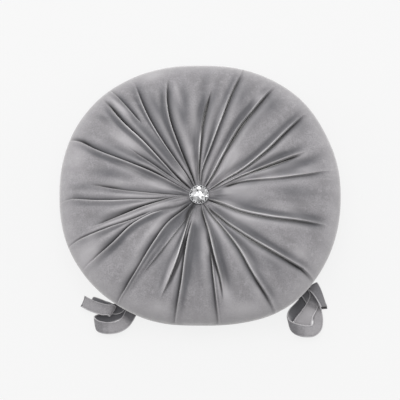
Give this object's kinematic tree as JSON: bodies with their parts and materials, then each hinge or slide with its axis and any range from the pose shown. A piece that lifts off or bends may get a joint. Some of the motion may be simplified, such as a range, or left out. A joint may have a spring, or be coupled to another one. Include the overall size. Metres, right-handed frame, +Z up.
{
  "type": "chair pad",
  "caption": "Round filled velvet chair pad, gathered in folds to a crystal button at its middle, with ribbon ties at its lower rim.",
  "frame": {"origin": "on the resting face, straight below the button", "axes": "+Z up out of the gathered face, +X to the right and +Y away from the side with the ties"},
  "size_m": [0.4, 0.3952, 0.0822],
  "materials": {
    "pad_velvet": "short-pile grey velvet, pale along the folds and the rim",
    "tie_velvet": "the same grey velvet, sewn into flat tubes",
    "setting_metal": "bright silver-coloured metal",
    "button_glass": "clear faceted glass with a silvered back"
  },
  "bodies": {
    "root": {"pad": "pad_velvet", "button_setting": "setting_metal", "button_crystal": "button_glass", "tie_left_upper": "tie_velvet", "tie_left_lower": "tie_velvet", "tie_right_upper": "tie_velvet", "tie_right_lower": "tie_velvet"}
  },
  "joints": []
}
